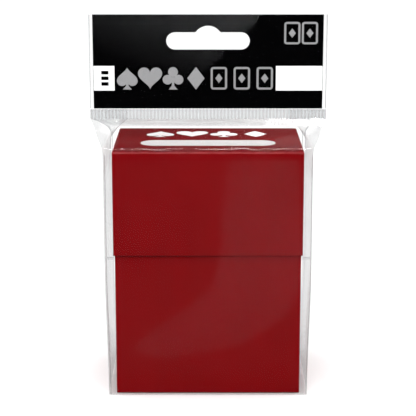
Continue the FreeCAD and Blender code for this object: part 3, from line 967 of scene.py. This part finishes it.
def dress_frame():
    """Gives the frame's own solids their finishes, and the folded sheets a small rounded edge."""
    for entry in frame["record"]["subparts"]:
        look = LOOKS.get(entry["material_slot"])
        if look is None:
            continue
        solid = frame["nodes"][entry["node"]]
        solid.data.materials.clear()
        solid.data.materials.append(look)
        if entry["material_slot"] in ("red_sheet", "frosted_sheet"):
            round_edges = solid.modifiers.new("round_edges", "BEVEL")
            round_edges.width = EDGE_BEVEL
            round_edges.segments = 2
            round_edges.limit_method = "ANGLE"
            round_edges.angle_limit = math.radians(50)


# ------------------------------------------------------------------ stage, light and camera


FLOOR_REACH = 6.0
FLOOR_DROP = 0.05 * MM

# The lit paper's own brightness.
FLOOR_GLOW = 1.45


def flat_corners(x0, y0, x1, y1, z):
    """The corners of a level rectangle."""
    return [(x0, y0, z), (x1, y0, z), (x1, y1, z), (x0, y1, z)]


def stage():
    """A pale paper floor that runs far back."""
    mesh = bpy.data.meshes.new("floor")
    corners = flat_corners(-FLOOR_REACH, -FLOOR_REACH, FLOOR_REACH, FLOOR_REACH, 0)
    mesh.from_pydata(corners, [], [(0, 1, 2, 3)])
    mesh.materials.append(pale_floor())
    floor = bpy.data.objects.new("floor", mesh)
    floor.location.z = -FLOOR_DROP
    bpy.context.scene.collection.objects.link(floor)


def softbox(name, place, target, width, height, radiance):
    """A rectangular light that faces target and isn't seen itself; radiance is its brightness."""
    light = bpy.data.lights.new(name, "AREA")
    light.shape = "RECTANGLE"
    light.size, light.size_y = width, height
    light.energy = radiance * math.pi * width * height
    lamp = bpy.data.objects.new(name, light)
    lamp.visible_camera = False
    aim = (Vector(target) - Vector(place)).to_track_quat("-Z", "Y").to_matrix().to_4x4()
    lamp.matrix_world = Matrix.Translation(place) @ aim
    bpy.context.scene.collection.objects.link(lamp)
    return lamp


def lights():
    """White surroundings, a soft key in front, a strip overhead and one at each side, and the cards."""
    world = bpy.data.worlds.new("surroundings")
    world.use_nodes = True
    backdrop = world.node_tree.nodes["Background"]
    backdrop.inputs["Color"].default_value = (1, 1, 1, 1)
    backdrop.inputs["Strength"].default_value = 1.05
    bpy.context.scene.world = world
    middle = (0, 0, 0.07)
    softbox("key_front", (-0.20, -0.80, 0.75), middle, 1.3, 0.9, 1.6)
    softbox("streak_above", (0.10, -0.22, 0.85), middle, 0.45, 0.035, 10.0)
    for side, word in ((-1, "left"), (1, "right")):
        softbox(f"strip_{word}", (side * 0.75, -0.25, 0.25), middle, 0.03, 0.7, 12.0)
    floor_mats()
    header_cards()
    front_card()
    lid_cards()


def reflected_card(name, corners, start, end, dim, bright):
    """A card seen only in reflections, from dim at start to bright at end."""
    mesh = bpy.data.meshes.new(name)
    mesh.from_pydata(corners, [], [tuple(range(len(corners)))])
    mesh.materials.append(glow(name + "_light", start, end, dim, bright))
    card = bpy.data.objects.new(name, mesh)
    for kind in ("camera", "diffuse", "transmission", "volume_scatter", "shadow"):
        setattr(card, "visible_" + kind, False)
    bpy.context.scene.collection.objects.link(card)


def plain_card(name, corners, brightness):
    """A card of even brightness, seen only in reflections; a black one shades what it is reflected in."""
    reflected_card(name, corners, corners[0], corners[2], brightness, brightness)


def floor_mats():
    """Cards flat on the paper round the part, as bright as it, for the film to reflect evenly."""
    near_x, near_y, far, z = 60 * MM, 45 * MM, 700 * MM, 1.5 * MM
    mats = {
        "front": (-far, -far, far, -near_y),
        "back": (-far, near_y, far, far),
        "left": (-far, -near_y, -near_x, near_y),
        "right": (near_x, -near_y, far, near_y),
    }
    for word, (x0, y0, x1, y1) in mats.items():
        plain_card(f"{word}_mat", flat_corners(x0, y0, x1, y1, z), FLOOR_GLOW)


def header_cards():
    """A card that puts a soft diagonal sheen on the header, and a black one behind it."""
    y = -0.51
    outline = [(0.045, 0.094), (-0.032, 0.018), (-0.100, 0.018), (-0.100, 0.100), (0.050, 0.100)]
    sheen = [(x, y, z) for x, z in outline]
    reflected_card("header_sheen", sheen, (-0.030, y, 0.034), (0.0, y, 0.108), 0.0, 5.5)
    shade_y = y - 2 * MM
    shade = [(-0.16, shade_y, 0.0), (0.16, shade_y, 0.0), (0.16, shade_y, 0.125), (-0.16, shade_y, 0.125)]
    plain_card("header_shade", shade, 0.0)


def front_card():
    """A card on the floor, whose reflection sweeps down the front and curls to the left."""
    z = 2 * MM
    outline = [
        (0.022, -0.60),
        (0.017, -0.44),
        (0.012, -0.30),
        (0.008, -0.21),
        (0.001, -0.15),
        (-0.016, -0.11),
        (-0.034, -0.075),
        (-0.020, -0.060),
        (0.012, -0.075),
        (0.034, -0.110),
        (0.047, -0.18),
        (0.075, -0.60),
    ]
    sweep = [(x, y, z) for x, y in outline]
    reflected_card("front_sheen", sweep, (0.0, -0.05, z), (0.0, -0.20, z), 3.6, 4.6)


def lid_cards():
    """Cards that put streaks on the film over the lid's top and its front edge, and a black one behind."""
    top = [(0.01, 0.42, 0.34), (0.12, 0.42, 0.34), (0.16, 0.60, 0.80), (0.05, 0.60, 0.80)]
    reflected_card("top_sheen", top, (0.02, 0.5, 0.6), (0.09, 0.5, 0.6), 5.0, 60.0)
    edge = flat_corners(-0.22, -0.10, 0.22, 0.20, 0.60)
    reflected_card("edge_streak", edge, edge[0], edge[1], 30.0, 60.0)
    shade = [(-0.6, 0.64, 0.10), (0.6, 0.64, 0.10), (0.6, 0.64, 0.95), (-0.6, 0.64, 0.95)]
    plain_card("lid_shade", shade, 0.0)


def camera():
    """Square on to the front, a little above."""
    distance, elevation, aim = 0.524, math.radians(13.0), Vector((0, 0, 0.0803))
    data = bpy.data.cameras.new("camera")
    data.sensor_width = 36.0
    data.lens = 115.4
    data.shift_y = -0.07
    data.clip_start = 0.01
    eye = bpy.data.objects.new("camera", data)
    back = Vector((0, -math.cos(elevation), math.sin(elevation)))
    eye.location = aim + back * distance
    eye.rotation_mode = "QUATERNION"
    eye.rotation_quaternion = (-back).to_track_quat("-Z", "Y")
    bpy.context.scene.collection.objects.link(eye)
    bpy.context.scene.camera = eye


dress_frame()
header_print()
header_welds()
lid_mark()
pouch_film()
back_sheet()
base_film()
base_crimp()
hood_film()
crimped_seal()
stage()
lights()
camera()
bpy.context.scene.view_settings.view_transform = "Standard"
